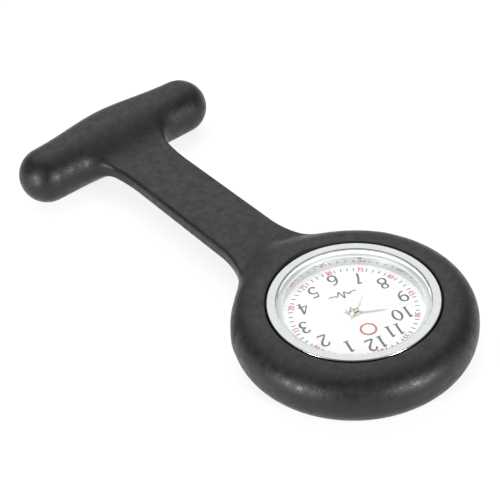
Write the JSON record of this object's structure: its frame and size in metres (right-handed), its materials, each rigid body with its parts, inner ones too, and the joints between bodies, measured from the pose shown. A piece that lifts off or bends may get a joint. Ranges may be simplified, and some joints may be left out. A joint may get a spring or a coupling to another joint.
{
  "type": "fob watch",
  "caption": "Fob watch: round quartz watch head with polished bezel in a soft holder whose flat strap ends in a cross bar with a brooch pin.",
  "frame": {"origin": "on the dial's axis, in the plane of the holder's back that the watch lies on", "axes": "+Z out of the dial, +Y from the watch head along the strap to the cross bar, +X along the cross bar"},
  "size_m": [0.0376, 0.0873, 0.0094],
  "materials": {
    "silicone": "satin",
    "bright_steel": "polished",
    "steel": "brushed",
    "bezel": "polished",
    "glass": "clear",
    "nylon": "satin",
    "seal": "matte",
    "dial_paint": "gloss",
    "hands": "polished",
    "plate_metal": "plated",
    "brass": "machined",
    "copper": "enamelled wire",
    "board": "solder mask",
    "epoxy": "matte",
    "magnet": "sintered"
  },
  "bodies": {
    "holder": {"silicone_holder": "silicone", "pin_base": "bright_steel", "pin_rivet": "steel", "catch_housing": "bright_steel"},
    "needle": {"pin_needle": "steel"},
    "roller": {"catch_roller": "bright_steel"},
    "head": {"case_middle": "steel", "bezel": "bezel", "crystal": "glass", "crystal_gasket": "nylon", "rehaut_ring": "bezel", "dial": "dial_paint", "case_back": "steel", "case_back_gasket": "seal", "movement_ring": "nylon", "stem_tube": "steel", "main_plate": "plate_metal", "train_bridge": "plate_metal", "movement_screws": "steel", "battery": "bright_steel", "battery_clamp": "steel", "battery_contact": "brass", "circuit_board": "board", "ic_chip": "epoxy", "quartz_can": "steel", "coil_core": "steel", "coil_winding": "copper", "stator": "steel", "motion_cover": "steel", "dial_washer": "brass", "reset_lever": "brass"},
    "stem": {"stem": "steel"},
    "crown": {"crown": "bright_steel", "crown_gasket": "seal"},
    "sliding_pinion": {"sliding_pinion": "brass"},
    "setting_lever": {"setting_lever": "steel"},
    "yoke": {"yoke": "steel"},
    "setting_wheel": {"setting_wheel": "brass"},
    "seconds": {"second_hand": "hands", "fourth_wheel": "brass"},
    "fifth": {"fifth_wheel": "brass"},
    "rotor": {"rotor": "magnet"},
    "third": {"third_wheel": "brass"},
    "minutes": {"centre_wheel": "brass", "cannon_pinion": "steel", "minute_hand": "hands"},
    "minute_wheel": {"minute_wheel": "brass"},
    "hours": {"hour_wheel": "brass", "hour_hand": "hands"}
  },
  "joints": [
    {"name": "head_release", "type": "slide", "parent": "holder", "child": "head", "axis": [0, 0, 1], "range_m": [0, 0.012]},
    {"name": "needle_hinge", "type": "hinge", "parent": "holder", "child": "needle", "pos_m": [-0.0123, 0.0622, 0.0017], "axis": [0, 1, 0], "range_deg": [0, 60]},
    {"name": "catch_turn", "type": "hinge", "parent": "holder", "child": "roller", "pos_m": [0.0125, 0.0622, 0.0017], "axis": [1, 0, 0], "range_deg": [0, 180]},
    {"name": "crown_pull", "type": "slide", "parent": "head", "child": "stem", "axis": [-0.9558, 0.294, 0], "range_m": [0, 0.0008]},
    {"name": "crown_turn", "type": "hinge", "parent": "stem", "child": "crown", "pos_m": [0, 0, 0.0039], "axis": [-0.9558, 0.294, 0], "continuous": true},
    {"name": "pinion_slide", "type": "slide", "parent": "head", "child": "sliding_pinion", "axis": [0.9558, -0.294, 0], "range_m": [0, 0.0003]},
    {"name": "setting_lever_turn", "type": "hinge", "parent": "head", "child": "setting_lever", "pos_m": [-0.00785, 0.00032, 0], "axis": [0, 0, 1], "range_deg": [0, 23]},
    {"name": "yoke_turn", "type": "hinge", "parent": "head", "child": "yoke", "pos_m": [-0.00702, -0.00056, 0], "axis": [0, 0, -1], "range_deg": [0, 6.7]},
    {"name": "seconds_turn", "type": "hinge", "parent": "head", "child": "seconds", "pos_m": [0, 0, 0], "axis": [0, 0, -1], "continuous": true},
    {"name": "fifth_turn", "type": "hinge", "parent": "head", "child": "fifth", "pos_m": [-0.00155, 0.00239, 0], "axis": [0, 0, -1], "continuous": true},
    {"name": "rotor_turn", "type": "hinge", "parent": "head", "child": "rotor", "pos_m": [-0.00288, 0.00383, 0], "axis": [0, 0, -1], "continuous": true},
    {"name": "third_turn", "type": "hinge", "parent": "head", "child": "third", "pos_m": [0.00064, -0.00281, 0], "axis": [0, 0, -1], "continuous": true},
    {"name": "minutes_turn", "type": "hinge", "parent": "head", "child": "minutes", "pos_m": [0, 0, 0], "axis": [0, 0, -1], "continuous": true},
    {"name": "minute_wheel_turn", "type": "hinge", "parent": "head", "child": "minute_wheel", "pos_m": [-0.00228, -0.00074, 0], "axis": [0, 0, -1], "continuous": true},
    {"name": "hours_turn", "type": "hinge", "parent": "head", "child": "hours", "pos_m": [0, 0, 0], "axis": [0, 0, -1], "continuous": true},
    {"name": "setting_wheel_turn", "type": "hinge", "parent": "head", "child": "setting_wheel", "pos_m": [-0.00462, 0.00081, 0], "axis": [0, 0, -1], "continuous": true}
  ],
  "couplings": [
    {"joint": "pinion_slide", "follows": "crown_pull", "ratio": 0.375},
    {"joint": "setting_lever_turn", "follows": "crown_pull", "rad_per_m": 500},
    {"joint": "yoke_turn", "follows": "crown_pull", "rad_per_m": 144.23},
    {"joint": "fifth_turn", "follows": "seconds_turn", "ratio": -5},
    {"joint": "rotor_turn", "follows": "seconds_turn", "ratio": 30},
    {"joint": "third_turn", "follows": "seconds_turn", "ratio": -0.125},
    {"joint": "minutes_turn", "follows": "seconds_turn", "ratio": 0.016667},
    {"joint": "minute_wheel_turn", "follows": "seconds_turn", "ratio": -0.0055556},
    {"joint": "hours_turn", "follows": "seconds_turn", "ratio": 0.0013889},
    {"joint": "setting_wheel_turn", "follows": "seconds_turn", "ratio": 0.01}
  ]
}
